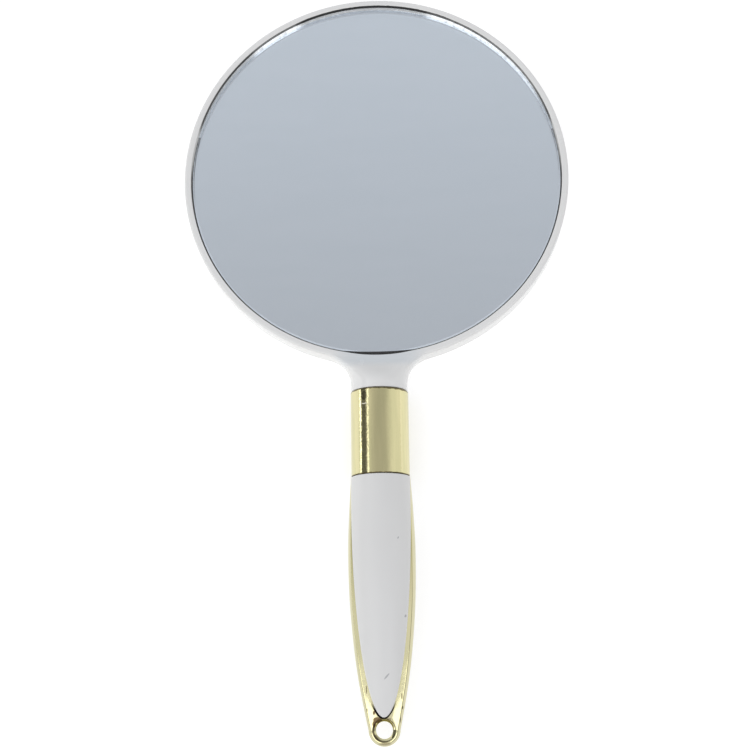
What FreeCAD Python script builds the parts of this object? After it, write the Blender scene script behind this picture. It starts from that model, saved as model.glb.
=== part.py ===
import FreeCAD, Part
import math
import os

# A salon hand mirror lying on its back, in millimetres.
# +Y runs from the tip of the handle to the head and +Z comes out of the glass. The origin is on the
# table, under the middle of the whole length.

# Head
head_radius = 64.75          # outside of the rim
rim_width = 2.25             # the white band round the glass, seen from the front
rim_round = 0.9              # rounding of the rim's outer front edge
rim_above_axis = 4.2         # how far the rim's front face stands above the handle's axis
skirt_drop = 1.05            # how far the side wall runs down past the floor
floor_thickness = 2.0        # the plate that carries the glass
rib_thickness = 1.2
rib_depth = 2.5

# Glass and what is behind it
glass_thickness = 3.0
glass_edge_gap = 0.4         # between the glass and the rim
glass_recess = 0.5           # the glass lies this far below the rim's front face
glass_bevel = 0.7            # ground edge on the front of the glass
silver_thickness = 0.1
paint_thickness = 0.15
tape_thickness = 0.8
tape_ring_width = 9.0
tape_pad_radius = 9.0
tape_pad_circle = 26.0
tape_pad_count = 4

# Back cover
cover_flat_radius = 46.0     # the flat middle that lies on the table
cover_wall = 2.0
cover_lip_thickness = 1.6
cover_step = 0.3             # the cover stands in from the side wall by this much
post_radius = 1.8
post_circle = 40.0
post_count = 6
post_wall = 1.5              # wall of the sockets that take the posts

# Neck and tang
neck_radius = 9.2
neck_length = 9.75           # from the rim to the collar
neck_fillet = 10.0           # round corner between the rim and the neck
neck_blend = 0.3             # how deep the round corner runs into the side wall
tang_radius = 5.0
tang_reach = 20.0            # how far the tang goes into the grip

# Collar
collar_radius = 9.46
collar_wall = 0.9
collar_length = 28.0
collar_edge = 0.3

# Grip
grip_length = 78.9           # from the collar to the centre of the hang hole
grip_half_width = 10.78
grip_half_thickness = 9.7
grip_step = 0.14             # the grip starts this much wider than the collar
socket_wall = 2.0
web_thickness = 2.5
pocket_wall = 2.5            # gold wall between the pocket and the edge of the panel
tip_radius = 5.0
tip_half_thickness = 2.6
hole_radius = 2.6
hole_countersink = 1.0

# White panels
panel_half_width = 9.55
panel_wall = 2.0
panel_shoulder = 7.1         # straight part of the panel's outline, from the collar
panel_tip_gap = 3.8          # from the centre of the hang hole to the panel's tip
peg_radius = 1.4
peg_places = (0.36, 0.6)     # shares of the grip's length

# Screws
screw_radius = 1.4
screw_head_radius = 2.5
screw_length = 11.0
screw_places = (5.5, 15.5)   # distances from the collar
screw_slot_width = 0.7
screw_slot_depth = 0.7

# Clearances
fit_gap = 0.1                # plug in socket, all round
seam_gap = 0.15              # visible joint lines
glue_gap = 0.05              # bond lines

# The grip's shape between the collar and the hang hole: share of the length, share of the half
# width, share of the half thickness over the panels, half height of the gold band, and how far the
# band's side bulges past its front edge.
grip_shape = (
    (0.14, 0.958, 0.985, 3.9, 0.8),
    (0.29, 1.0, 0.985, 4.3, 1.05),
    (0.48, 0.976, 0.94, 4.1, 1.05),
    (0.67, 0.867, 0.785, 3.6, 1.0),
    (0.81, 0.733, 0.58, 3.1, 0.95),
    (0.925, 0.577, 0.4, 2.8, 0.9),
)
first_band_half_height = 3.3
first_band_bulge = 0.6
last_crown = 3.1             # half thickness that the panels' crown has run down to at the hole
last_band_bulge = 0.85

# Places that follow
rim_inner_radius = head_radius - rim_width
glass_radius = rim_inner_radius - glass_edge_gap
total_length = 2 * head_radius + neck_length + collar_length + grip_length + tip_radius
head_y = total_length / 2 - head_radius
neck_end_y = head_y - head_radius - neck_length
collar_end_y = neck_end_y - collar_length
joint_y = neck_end_y - collar_length / 2
grip_y = collar_end_y - seam_gap
hole_y = collar_end_y - grip_length
tang_end_y = collar_end_y - tang_reach
collar_inner_radius = collar_radius - collar_wall
plug_radius = collar_inner_radius - fit_gap
socket_radius = tang_radius + fit_gap
boss_radius = socket_radius + socket_wall
axis_z = max(grip_half_thickness, collar_radius)
rim_z = axis_z + rim_above_axis
glass_front_z = rim_z - glass_recess
silver_z = glass_front_z - glass_thickness
paint_z = silver_z - silver_thickness
tape_z = paint_z - paint_thickness
floor_z = tape_z - tape_thickness
floor_under_z = floor_z - floor_thickness
skirt_z = floor_under_z - skirt_drop
cover_top_z = skirt_z - seam_gap

wide = 4 * head_radius       # reach of cutting shapes
up = FreeCAD.Vector(0, 0, 1)
down_handle = FreeCAD.Vector(0, -1, 0)


def point(x, y, z=0.0):
    return FreeCAD.Vector(x, y, z)


def disc(radius, bottom, top, x=0.0, y=None):
    """A round plate about a vertical axis, on the head's centre unless told otherwise."""
    centre_y = head_y if y is None else y
    return Part.makeCylinder(radius, top - bottom, point(x, centre_y, bottom), up)


def rod(radius, start_y, end_y):
    """A round bar along the handle's axis, from start_y down to end_y."""
    return Part.makeCylinder(radius, start_y - end_y, point(0, start_y, axis_z), down_handle)


def turned(edges):
    """The solid that a closed outline of radius and height makes, turned about the head's centre."""
    face = Part.Face(Part.Wire(edges))
    solid = face.revolve(point(0, 0, 0), up, 360)
    solid.translate(point(0, head_y, 0))
    return solid


def line(a, b):
    return Part.makeLine(point(a[0], 0, a[1]), point(b[0], 0, b[1]))


def arc(a, middle, b):
    ends = [point(p[0], 0, p[1]) for p in (a, middle, b)]
    return Part.Arc(*ends).toShape()


def path(points):
    return [line(a, b) for a, b in zip(points, points[1:])]


def quarter(centre, radius, start_degrees, end_degrees):
    """A round corner in the plane of radius and height."""
    spots = []
    for degrees in (start_degrees, (start_degrees + end_degrees) / 2, end_degrees):
        angle = math.radians(degrees)
        spots.append((centre[0] + radius * math.cos(angle), centre[1] + radius * math.sin(angle)))
    return spots


def around(count, circle, turn=0.0):
    """Evenly spaced places on a circle about the head's centre."""
    for i in range(count):
        angle = math.radians(turn + 360.0 * i / count)
        yield circle * math.cos(angle), head_y + circle * math.sin(angle)


# ---- head

def smooth(share):
    share = min(1.0, max(0.0, share))
    return share * share * (3 - 2 * share)


def neck_corner_reach():
    """Distance from the head's centre at which the round corners end in the straight neck."""
    between_centres = head_radius + neck_fillet - neck_blend
    return math.sqrt(between_centres ** 2 - (neck_radius + neck_fillet) ** 2)


def neck_section(reach):
    """One section of the neck, at a distance from the head's centre."""
    corner_reach = neck_corner_reach()
    back = min(0, reach - corner_reach)
    half_width = neck_radius + neck_fillet - math.sqrt(neck_fillet ** 2 - back ** 2)
    ramp_start = head_radius - rim_width / 2
    rise = smooth((reach - ramp_start) / (corner_reach - ramp_start))
    low_top = rim_z - neck_blend
    high_bottom = skirt_z + neck_blend
    top = low_top + rise * (axis_z + neck_radius - low_top)
    bottom = high_bottom + rise * (axis_z - neck_radius - high_bottom)
    power = 2.0 / (2.0 + 3.0 * (1.0 - rise) ** 2)
    spots = []
    count = 40
    for i in range(count):
        angle = 2 * math.pi * i / count
        across = math.copysign(abs(math.cos(angle)) ** power, math.cos(angle))
        along = math.copysign(abs(math.sin(angle)) ** power, math.sin(angle))
        middle = (top + bottom) / 2
        spots.append(point(half_width * across, head_y - reach, middle + (top - bottom) / 2 * along))
    curve = Part.BSplineCurve()
    curve.interpolate(spots, PeriodicFlag=True)
    return Part.Wire(curve.toShape())


def neck():
    between_centres = head_radius + neck_fillet - neck_blend
    start = neck_corner_reach() * (head_radius - neck_blend) / between_centres
    end = head_radius + neck_length
    shares = (0.0, 0.14, 0.26, 0.38, 0.5, 0.62, 0.75, 0.88, 1.0)
    sections = [neck_section(start + share * (end - start)) for share in shares]
    return Part.makeLoft(sections, True, False)


def rim_blank():
    """The head's front moulding before the glass seat is cut: side wall and floor in one."""
    corner = quarter((head_radius - rim_round, rim_z - rim_round), rim_round, 0, 90)
    lower = path([(0, rim_z), (0, floor_under_z), (rim_inner_radius, floor_under_z),
                  (rim_inner_radius, skirt_z), (head_radius, skirt_z), corner[0]])
    return turned(lower + [arc(*corner), line(corner[2], (0, rim_z))])


def ribs():
    """Ribs under the floor: two rings and six spokes between the post sockets."""
    bottom = floor_under_z - rib_depth
    top = floor_under_z + floor_thickness / 2
    outer_ring = post_circle + 3 * post_radius + rib_depth + 8
    inner_ring = post_circle - 3 * post_radius - rib_depth
    pieces = []
    for radius in (inner_ring, outer_ring):
        pieces.append(disc(radius, bottom, top).cut(disc(radius - rib_thickness, bottom, top)))
    for i in range(post_count):
        spoke = Part.makeBox(outer_ring - inner_ring, rib_thickness, top - bottom,
                             point(inner_ring - rib_thickness / 2, -rib_thickness / 2, bottom))
        spoke.rotate(point(0, 0, 0), up, (i + 0.5) * 360.0 / post_count)
        spoke.translate(point(0, head_y, 0))
        pieces.append(spoke)
    for x, y in around(post_count, post_circle):
        pieces.append(disc(post_radius + fit_gap + post_wall, bottom, top, x, y))
    return pieces


def head_frame():
    body = rim_blank().fuse([neck(), rod(plug_radius, neck_end_y + 1, joint_y + fit_gap),
                             rod(tang_radius, joint_y + 1, tang_end_y)])
    body = body.cut(disc(rim_inner_radius, floor_z, rim_z + wide))
    body = body.cut(disc(rim_inner_radius, -wide, floor_under_z))
    body = body.fuse(ribs())
    sockets = [disc(post_radius + fit_gap, skirt_z - wide, floor_under_z, x, y)
               for x, y in around(post_count, post_circle)]
    pilots = []
    pilot_bottom = axis_z - tang_radius - 1
    pilot_top = axis_z - boss_radius + fit_gap + screw_length + fit_gap
    for place in screw_places:
        pilots.append(Part.makeCylinder(screw_radius + glue_gap, pilot_top - pilot_bottom,
                                        point(0, collar_end_y - place, pilot_bottom), up))
    return body.cut(sockets + pilots).removeSplitter()


def head_back_cover():
    edge_radius = head_radius - cover_step
    run = edge_radius - cover_flat_radius
    sweep = (run ** 2 + cover_top_z ** 2) / (2 * cover_top_z)
    lip_outer = rim_inner_radius - fit_gap
    lip_inner = lip_outer - cover_lip_thickness

    def on_arc(radius, across):
        return across, sweep - math.sqrt(radius ** 2 - (across - cover_flat_radius) ** 2)

    outside = [on_arc(sweep, cover_flat_radius + run * share) for share in (0.0, 0.5, 1.0)]
    inside = [on_arc(sweep - cover_wall, lip_inner + (cover_flat_radius - lip_inner) * share)
              for share in (0.0, 0.5, 1.0)]
    lip_top = floor_under_z - fit_gap
    edges = [line((0, 0), outside[0]), arc(*outside)]
    edges += path([outside[2], (lip_outer, cover_top_z), (lip_outer, lip_top), (lip_inner, lip_top),
                   inside[0]])
    edges += [arc(*inside)]
    edges += path([inside[2], (0, cover_wall), (0, 0)])
    posts = [disc(post_radius, cover_wall / 2, floor_under_z - 2 * fit_gap, x, y)
             for x, y in around(post_count, post_circle)]
    return turned(edges).fuse(posts).removeSplitter()


def mirror_glass():
    bevel_depth = glass_bevel / 2
    edges = path([(0, silver_z), (glass_radius, silver_z), (glass_radius, glass_front_z - bevel_depth),
                  (glass_radius - glass_bevel, glass_front_z), (0, glass_front_z), (0, silver_z)])
    return turned(edges)


def mirror_silvering():
    return disc(glass_radius, paint_z, silver_z)


def mirror_backing_paint():
    return disc(glass_radius, tape_z, paint_z)


def foam_tape_ring():
    outer = glass_radius - glass_edge_gap
    return disc(outer, floor_z, tape_z).cut(disc(outer - tape_ring_width, floor_z, tape_z))


def foam_tape_pads():
    return Part.makeCompound([disc(tape_pad_radius, floor_z, tape_z, x, y)
                              for x, y in around(tape_pad_count, tape_pad_circle, 45.0)])


# ---- handle

def collar():
    outer = rod(collar_radius, neck_end_y - seam_gap, collar_end_y)
    ends = [edge for edge in outer.Edges if edge.Curve.TypeId == "Part::GeomCircle"]
    rounded = outer.makeFillet(collar_edge, ends)
    return rounded.cut(rod(collar_inner_radius, neck_end_y, collar_end_y - 1))


def grip_stations():
    """Place, half width, crown half thickness, band half height and band bulge, collar to hole."""
    start = collar_radius + grip_step
    crown_start = min(start, axis_z)
    rows = [(grip_y, start, crown_start, first_band_half_height, first_band_bulge)]
    for share, width, crown, band, bulge in grip_shape:
        rows.append((collar_end_y - share * grip_length, width * grip_half_width,
                     crown * grip_half_thickness, band, bulge))
    rows.append((hole_y, tip_radius, last_crown, tip_half_thickness, last_band_bulge))
    return rows


def band_edges(y, half_width, half_height, bulge):
    """The gold band's section: flat front and back, bulging sides."""
    flat = half_width - bulge
    top, bottom = axis_z + half_height, axis_z - half_height
    right = Part.Arc(point(flat, y, bottom), point(half_width, y, axis_z), point(flat, y, top))
    left = Part.Arc(point(-flat, y, top), point(-half_width, y, axis_z), point(-flat, y, bottom))
    front = Part.makeLine(point(flat, y, top), point(-flat, y, top))
    back = Part.makeLine(point(-flat, y, bottom), point(flat, y, bottom))
    return [right.toShape(), front, left.toShape(), back]


def band():
    sections = [Part.Wire(band_edges(y, half_width, half_height, bulge))
                for y, half_width, crown, half_height, bulge in grip_stations()]
    return Part.makeLoft(sections, True, False)


def tip_end():
    """The round end about the hang hole: half of the band's last section, turned."""
    edges = band_edges(hole_y, tip_radius, tip_half_thickness, last_band_bulge)
    side = edges[0]
    flat = tip_radius - last_band_bulge
    top, bottom = axis_z + tip_half_thickness, axis_z - tip_half_thickness
    outline = [side, Part.makeLine(point(flat, hole_y, top), point(0, hole_y, top)),
               Part.makeLine(point(0, hole_y, top), point(0, hole_y, bottom)),
               Part.makeLine(point(0, hole_y, bottom), point(flat, hole_y, bottom))]
    return Part.Face(Part.Wire(outline)).revolve(point(0, hole_y, 0), up, -180)


def crown_solid(inset):
    """The grip's rounded outer shape over the panels, drawn in all round by inset."""
    wires = []
    for y, half_width, half_crown, half_height, bulge in grip_stations():
        across, tall = half_width - inset, half_crown - inset
        spots = []
        count = 24
        for i in range(count):
            angle = 2 * math.pi * i / count
            spots.append(point(across * math.cos(angle), y, axis_z + tall * math.sin(angle)))
        curve = Part.BSplineCurve()
        curve.interpolate(spots, PeriodicFlag=True)
        wires.append(Part.Wire(curve.toShape()))
    return Part.makeLoft(wires, True, False)


def band_slab(extra):
    """Everything between the gold band's front and back faces, moved out by extra."""
    wires = []
    for y, half_width, half_crown, half_height, bulge in grip_stations():
        tall = half_height + extra
        corners = [point(-wide, y, axis_z - tall), point(wide, y, axis_z - tall),
                   point(wide, y, axis_z + tall), point(-wide, y, axis_z + tall)]
        wires.append(Part.makePolygon(corners + corners[:1]))
    return Part.makeLoft(wires, True, False)


def leaf(inset, top_y):
    """An upright block with the panel's leaf outline, drawn in by inset and ending at top_y."""
    middle_y = collar_end_y - panel_shoulder
    half = panel_half_width - inset
    tip_y = hole_y + panel_tip_gap + inset
    ellipse = Part.Ellipse(point(0, tip_y), point(half, middle_y), point(0, middle_y))
    curve = Part.ArcOfEllipse(ellipse, -math.pi / 2, math.pi / 2)
    start, end = curve.StartPoint, curve.EndPoint
    corners = [end, point(end.x, neck_end_y), point(start.x, neck_end_y), start]
    edges = [curve.toShape()] + [Part.makeLine(a, b) for a, b in zip(corners, corners[1:])]
    block = Part.Face(Part.Wire(edges)).extrude(point(0, 0, wide))
    block.translate(point(0, 0, -wide / 2))
    return block.common(Part.makeBox(2 * wide, wide, 2 * wide, point(-wide, top_y - wide, -wide)))


def pegs(radius, bottom, top):
    return [Part.makeCylinder(radius, top - bottom,
                              point(0, collar_end_y - share * grip_length, bottom), up)
            for share in peg_places]


def half_space(front):
    """The part of space in front of the handle's axis, or behind it."""
    bottom = axis_z if front else axis_z - wide
    return Part.makeBox(2 * wide, 2 * wide, wide, point(-wide, -wide, bottom))


def grip_panel(front):
    shell = crown_solid(0).common(leaf(0, grip_y))
    hollow = crown_solid(panel_wall).common(leaf(panel_wall, grip_y + 1))
    side = half_space(front)
    boss_room = rod(boss_radius + glue_gap, joint_y - 1, tang_end_y - socket_wall - glue_gap)
    solid = shell.cut(hollow).cut(band_slab(glue_gap)).cut(boss_room).common(side)
    post_end = glue_gap if front else -glue_gap
    far = axis_z + (wide if front else -wide)
    near = axis_z + post_end
    pins = [pin.common(crown_solid(panel_wall / 2)) for pin in pegs(peg_radius, min(near, far),
                                                                    max(near, far))]
    return solid.fuse(pins).removeSplitter()


def handle_core():
    plug = rod(plug_radius, joint_y - fit_gap, collar_end_y)
    boss = rod(boss_radius, joint_y - 1, tang_end_y - socket_wall)
    body = band().fuse([tip_end(), boss, plug])
    pocket = leaf(pocket_wall, tang_end_y - socket_wall - pocket_wall)
    web = Part.makeBox(2 * wide, 2 * wide, web_thickness,
                       point(-wide, -wide, axis_z - web_thickness / 2))
    body = body.cut(pocket.cut(web))
    body = body.cut(rod(socket_radius, joint_y + 1, tang_end_y - fit_gap))
    body = body.cut(pegs(peg_radius + fit_gap, axis_z - wide / 2, axis_z + wide / 2))
    body = body.cut(hang_hole())
    return body.cut(screw_seats()).removeSplitter()


def hang_hole():
    top, bottom = axis_z + tip_half_thickness, axis_z - tip_half_thickness
    hole = Part.makeCylinder(hole_radius, 2 * wide, point(0, hole_y, -wide), up)
    wider = hole_radius + hole_countersink
    front = Part.makeCone(hole_radius, wider, hole_countersink,
                          point(0, hole_y, top - hole_countersink), up)
    back = Part.makeCone(wider, hole_radius, hole_countersink, point(0, hole_y, bottom), up)
    return hole.fuse([front, back])


def screw_blank(y, gap):
    """A countersunk screw, driven up from the back, bigger all round by gap."""
    head_bottom = axis_z - boss_radius + fit_gap
    cone_height = screw_head_radius - screw_radius
    shank = Part.makeCylinder(screw_radius + gap, screw_length + gap, point(0, y, head_bottom), up)
    head = Part.makeCone(screw_head_radius + gap, screw_radius + gap, cone_height,
                         point(0, y, head_bottom), up)
    return shank.fuse(head)


def screw_seats():
    seats = []
    for place in screw_places:
        y = collar_end_y - place
        seats.append(screw_blank(y, glue_gap))
        seats.append(Part.makeCylinder(screw_head_radius + glue_gap, wide,
                                       point(0, y, axis_z - boss_radius + fit_gap), -up))
    return seats


def tang_screws():
    screws = []
    for place in screw_places:
        y = collar_end_y - place
        screw = screw_blank(y, 0)
        for turn in (0, 90):
            slot = Part.makeBox(2 * screw_radius, screw_slot_width, screw_slot_depth,
                                point(-screw_radius, -screw_slot_width / 2, 0))
            slot.rotate(point(0, 0, 0), up, turn)
            slot.translate(point(0, y, axis_z - boss_radius + fit_gap))
            screw = screw.cut(slot)
        screws.append(screw)
    return Part.makeCompound(screws)


pieces = {
    "head_frame": head_frame(),
    "head_back_cover": head_back_cover(),
    "mirror_glass": mirror_glass(),
    "mirror_silvering": mirror_silvering(),
    "mirror_backing_paint": mirror_backing_paint(),
    "foam_tape_ring": foam_tape_ring(),
    "foam_tape_pads": foam_tape_pads(),
    "collar": collar(),
    "handle_core": handle_core(),
    "front_grip_panel": grip_panel(True),
    "back_grip_panel": grip_panel(False),
    "tang_screws": tang_screws(),
}

os.makedirs("parts", exist_ok=True)
for name, shape in pieces.items():
    shape.exportStep("parts/" + name + ".step")
    print(name, "solids", len(shape.Solids), "volume", round(shape.Volume, 1), "valid", shape.isValid())
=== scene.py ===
# A salon hand mirror lying on its back: materials, fine meshes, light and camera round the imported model.
from math import asin, atan2, cos, hypot, pi, radians, sin, sqrt, tan
import bmesh
import bpy
from mathutils import Matrix, Vector


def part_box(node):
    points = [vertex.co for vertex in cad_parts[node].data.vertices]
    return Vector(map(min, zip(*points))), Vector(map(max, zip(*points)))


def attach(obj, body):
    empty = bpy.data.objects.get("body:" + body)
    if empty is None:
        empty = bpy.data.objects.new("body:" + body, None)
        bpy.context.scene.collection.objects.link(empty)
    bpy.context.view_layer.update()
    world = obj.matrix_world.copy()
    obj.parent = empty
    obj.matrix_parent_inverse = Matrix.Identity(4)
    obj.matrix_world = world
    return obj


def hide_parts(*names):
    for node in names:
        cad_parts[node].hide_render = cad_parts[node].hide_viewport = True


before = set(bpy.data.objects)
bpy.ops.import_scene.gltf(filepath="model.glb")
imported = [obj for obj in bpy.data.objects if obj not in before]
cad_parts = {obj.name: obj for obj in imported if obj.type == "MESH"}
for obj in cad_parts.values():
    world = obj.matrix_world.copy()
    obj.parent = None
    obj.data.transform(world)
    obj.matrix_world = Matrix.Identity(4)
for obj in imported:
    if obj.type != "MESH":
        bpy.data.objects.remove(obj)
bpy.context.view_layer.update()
mm = 0.001

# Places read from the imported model. +Y runs to the head and +Z out of the glass.
glassLow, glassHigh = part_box("mirror_glass")
frameLow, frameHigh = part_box("head_frame")
collarLow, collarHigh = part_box("collar")
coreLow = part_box("handle_core")[0]
leafLow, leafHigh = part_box("front_grip_panel")
silverLow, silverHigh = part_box("mirror_silvering")
paintLow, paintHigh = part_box("mirror_backing_paint")

headY = (glassLow.y + glassHigh.y) / 2
headRadius = (frameHigh.x - frameLow.x) / 2
axisZ = (collarLow.z + collarHigh.z) / 2
jointY = (collarLow.y + collarHigh.y) / 2        # where the neck's plug meets the grip's, inside the collar
glassRadius = (glassHigh.x - glassLow.x) / 2
print("frame read: head radius", round(headRadius / mm, 2), "mm")


# shader maths

def operator(operation, swapped=False):
    def work(self, other):
        return self.calc(operation, *((other, self) if swapped else (self, other)))
    return work


class Field:
    # one output socket, so that sums on surfaces read as plain expressions
    def __init__(self, surface, socket):
        self.surface = surface
        self.socket = socket

    def calc(self, operation, *values):
        return self.surface.node("Math", {"operation": operation}, dict(enumerate(values)))

    __add__, __radd__ = operator("ADD"), operator("ADD", True)
    __sub__, __rsub__ = operator("SUBTRACT"), operator("SUBTRACT", True)
    __mul__, __rmul__ = operator("MULTIPLY"), operator("MULTIPLY", True)
    __truediv__, __rtruediv__ = operator("DIVIDE"), operator("DIVIDE", True)
    __pow__ = operator("POWER")

    def __abs__(self):
        return self.calc("ABSOLUTE", self)

    def root(self):
        return self.calc("SQRT", self)


class Surface:
    # a material or world being made
    def __init__(self, owner):
        owner.use_nodes = True
        self.owner = owner
        self.tree = owner.node_tree
        self.tree.nodes.clear()

    def node(self, kind, settings=None, sockets=None, output=0):
        made = self.tree.nodes.new("ShaderNode" + kind)
        for name, setting in (settings or {}).items():
            setattr(made, name, setting)
        for name, value in (sockets or {}).items():
            if isinstance(value, Field):
                self.tree.links.new(value.socket, made.inputs[name])
            else:
                made.inputs[name].default_value = value
        return Field(self, made.outputs[output])

    def where(self):
        return self.node("TexCoord", output="Object")

    def split(self, vector):
        parts = self.node("SeparateXYZ", sockets={0: vector}).socket.node
        return [Field(self, parts.outputs[i]) for i in range(3)]

    def join(self, x, y, z):
        return self.node("CombineXYZ", sockets={0: x, 1: y, 2: z})

    def noise(self, place, scale, detail=2.0, roughness=0.5):
        return self.node("TexNoise", sockets={"Vector": place, "Scale": scale, "Detail": detail,
                                              "Roughness": roughness})

    def step(self, value, low, high):
        # 0 below low, 1 above high, smooth between
        return self.node("MapRange", {"interpolation_type": "SMOOTHSTEP"},
                         {"Value": value, "From Min": low, "From Max": high})

    def blend(self, share, first, second):
        # colours, mixed by a share
        return self.node("Mix", {"data_type": "RGBA"}, {0: share, 6: first, 7: second}, 2)

    def bump(self, height, distance, normal=None):
        sockets = {"Height": height, "Distance": distance}
        if normal is not None:
            sockets["Normal"] = normal
        return self.node("Bump", sockets=sockets)

    def principled(self, sockets):
        return self.node("BsdfPrincipled", sockets=sockets)

    def finish(self, shader, target="Material"):
        out = self.tree.nodes.new("ShaderNodeOutput" + target)
        self.tree.links.new(shader.socket, out.inputs["Surface"])
        return self.owner


def newSurface(name):
    return Surface(bpy.data.materials.new(name))


def colour(red, green, blue):
    return (red, green, blue, 1.0)


def onFront(s, pz, start=0.0):
    # 1 on the front of a piece and 0 on its back, changing within a millimetre above the middle
    return s.step(pz, axisZ + start, axisZ + start + mm)


def fromGlassEdge(px, py):
    # how far up the glass, as a share of its radius, and the distance in from its edge in mm
    across, up = px / glassRadius, (py - headY) / glassRadius
    return up, (1.0 - (across * across + up * up).root()) * (glassRadius / mm)


# finishes

def whitePlastic(name, look):
    # polished moulding: faint cloudiness, orange peel and handling marks
    s = newSurface(name)
    place = s.where()
    cloud = s.noise(place, look["cloudScale"], 3.0)
    tone = s.blend(s.step(cloud, 0.3, 0.7), look["shade"], look["light"])
    peel = s.noise(place, look["peelScale"], 2.0)
    rub = s.step(s.noise(place, look["rubScale"], 4.0, 0.6), 0.35, 0.75)
    rough = look["roughness"] + rub * look["rubRoughness"] + cloud * look["cloudRoughness"]
    normal = s.bump(peel, look["peelHeight"])
    if "marks" in look:
        tone, rough = addMarks(s, place, tone, rough, look["marks"])
    if "paintedFootShade" in look:
        tone = addPaintedFootShade(s, place, tone, look["paintedFootShade"])
    if "lipShadow" in look:
        tone = addLipShadow(s, place, tone, look["lipShadow"])
    return s.finish(s.principled({
        "Base Color": tone, "Roughness": rough, "Normal": normal, "IOR": look["ior"],
        "Coat Weight": look["coat"], "Coat Roughness": look["coatRoughness"]}))


def addMarks(s, place, tone, rough, marks):
    # small nicks and specks on the front, each a ragged ellipse about a point
    px, py, pz = s.split(place)
    ragged = s.noise(place, marks["scale"], 2.0) * marks["ragged"]
    for x, y, long, wide, turn in marks["spots"]:
        dx, dy = px - x * mm, py - y * mm
        c, d = cos(radians(turn)), sin(radians(turn))
        along = (dx * c + dy * d) / (long * mm)
        across = (dy * c - dx * d) / (wide * mm)
        gone = s.step(along * along + across * across + ragged, 0.7, 1.5)
        share = (1.0 - gone) * onFront(s, pz) * marks["depth"]
        tone = s.blend(share, tone, marks["colour"])
        rough = rough + share * marks["rough"]
    return tone, rough


def addPaintedFootShade(s, place, tone, tint):
    # painted shade: a faint blue-grey darkening on the rim between the glass and the neck
    px, py, pz = s.split(place)
    side = px / tint["halfWidth"]
    paintedShade = s.step(py, tint["end"], tint["start"]) * (1.0 - s.step(side * side, 0.1, 1.0))
    paintedShade = paintedShade * onFront(s, pz) * (1.0 - s.step(py, 0.0, tint["top"]))
    return s.blend(paintedShade * tint["share"], tone, tint["colour"])


def addLipShadow(s, place, tone, paintedShadow):
    # painted shadow: a black line on the rim's inner lip, where the gap beside the glass lies in shade; thin
    # up the sides, wider at the foot and top
    px, py, _ = s.split(place)
    dy = py - headY
    out = (px * px + dy * dy).root()
    up = dy / out                                        # -1 at the foot, 1 at the top
    ragged = (s.noise(s.join(px, py, 0.0), paintedShadow["scale"], 3.0, 0.65) - 0.5) * paintedShadow["ragged"]
    atFoot = s.step(0.0 - up, paintedShadow["footFrom"], 1.0) * paintedShadow["foot"]
    atTop = s.step(up, *paintedShadow["topFrom"]) * (ragged + paintedShadow["top"])
    atSide = s.step(up, *paintedShadow["sideFrom"]) * paintedShadow["side"]
    width = atFoot + atTop + atSide
    covered = 1.0 - s.step((out - lipRadius) / mm - width, -0.05, 0.03)
    return s.blend(covered * s.step(width, 0.02, 0.08), tone, paintedShadow["colour"])


def goldPlating(name, look):
    # bright pale plating: long shallow waves, fine pits and warmer in places, with painted shade that makes
    # its sides duller
    s = newSurface(name)
    place = s.where()
    px, py, pz = s.split(place)
    drawn = s.join(px, py * look["drawn"], pz)
    wave = s.noise(drawn, look["waveScale"], 1.0)
    ripple = s.noise(place, look["rippleScale"], 3.0, 0.6)
    tint = s.step(s.noise(drawn, look["tintScale"], 2.0), 0.35, 0.65)
    tone = s.blend(tint, look["cool"], look["warm"])
    pits = s.step(s.noise(place, look["pitScale"], 1.0), *look["pitFrom"])
    tone = s.blend(pits * look["pitDepth"], tone, look["pit"])
    rough = look["roughness"] + ripple * look["rippleRoughness"] + pits * look["pitRoughness"]
    facing = abs(s.split(s.node("NewGeometry", output=1))[2])      # 1 on the front and back, 0 on the sides
    # painted shade: faces that turn sideways get the duller colour
    tone = s.blend((1.0 - s.step(facing, *look["sideFrom"])) * look["shadedSides"], tone, look["dull"])
    for wearAndReflection in look["wearAndReflection"]:
        tone, rough = addWearAndReflection(s, place, tone, rough, wearAndReflection)
    for part, add in (("holeShade", addHoleShade), ("tipShadow", addTipShadow), ("seamDarkening", addSeamDarkening)):
        if part in look:
            tone = add(s, place, tone, look[part])
    normal = s.bump(wave, look["waveHeight"])
    normal = s.bump(ripple, look["rippleHeight"], normal=normal)
    return s.finish(s.principled({"Base Color": tone, "Roughness": rough, "Metallic": 1.0, "Normal": normal}))


def addWearAndReflection(s, place, tone, rough, wearAndReflection):
    # patches on the front where the plating has worn or caught, and on the collar a painted reflection: (x,
    # y, half width, half height) in mm
    px, py, pz = s.split(place)
    ragged = s.noise(place, wearAndReflection["scale"], 3.0, 0.6) - 0.5
    front = onFront(s, pz, mm)
    for x, y, across, tall in wearAndReflection["spots"]:
        dx = (px - x * mm) / (across * mm)
        dy = (py - y * mm) / (tall * mm)
        near = (dx * dx + dy * dy).root()
        share = (1.0 - s.step(near + ragged * wearAndReflection["ragged"], 0.75, 1.05)) * front
        tone = s.blend(share * wearAndReflection["depth"], tone, wearAndReflection["colour"])
        rough = rough + share * wearAndReflection["rough"]
    return tone, rough


def addHoleShade(s, place, tone, ring):
    # painted shade: a brown line round the countersink's edge, thicker low on the left
    px, py, pz = s.split(place)
    dx, dy = px / mm, (py - holeY) / mm
    away = abs((dx * dx + dy * dy).root() - ring["radius"])
    lowLeft = s.step(0.0 - dx - dy, *ring["lowLeft"])
    ragged = s.noise(place, ring["scale"], 2.0) - 0.5
    width = lowLeft * ring["thicker"] + ragged * ring["ragged"] + ring["width"]
    line = (1.0 - s.step(away - width, -0.08, 0.1)) * onFront(s, pz)
    return s.blend(line * ring["depth"], tone, ring["colour"])


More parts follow.
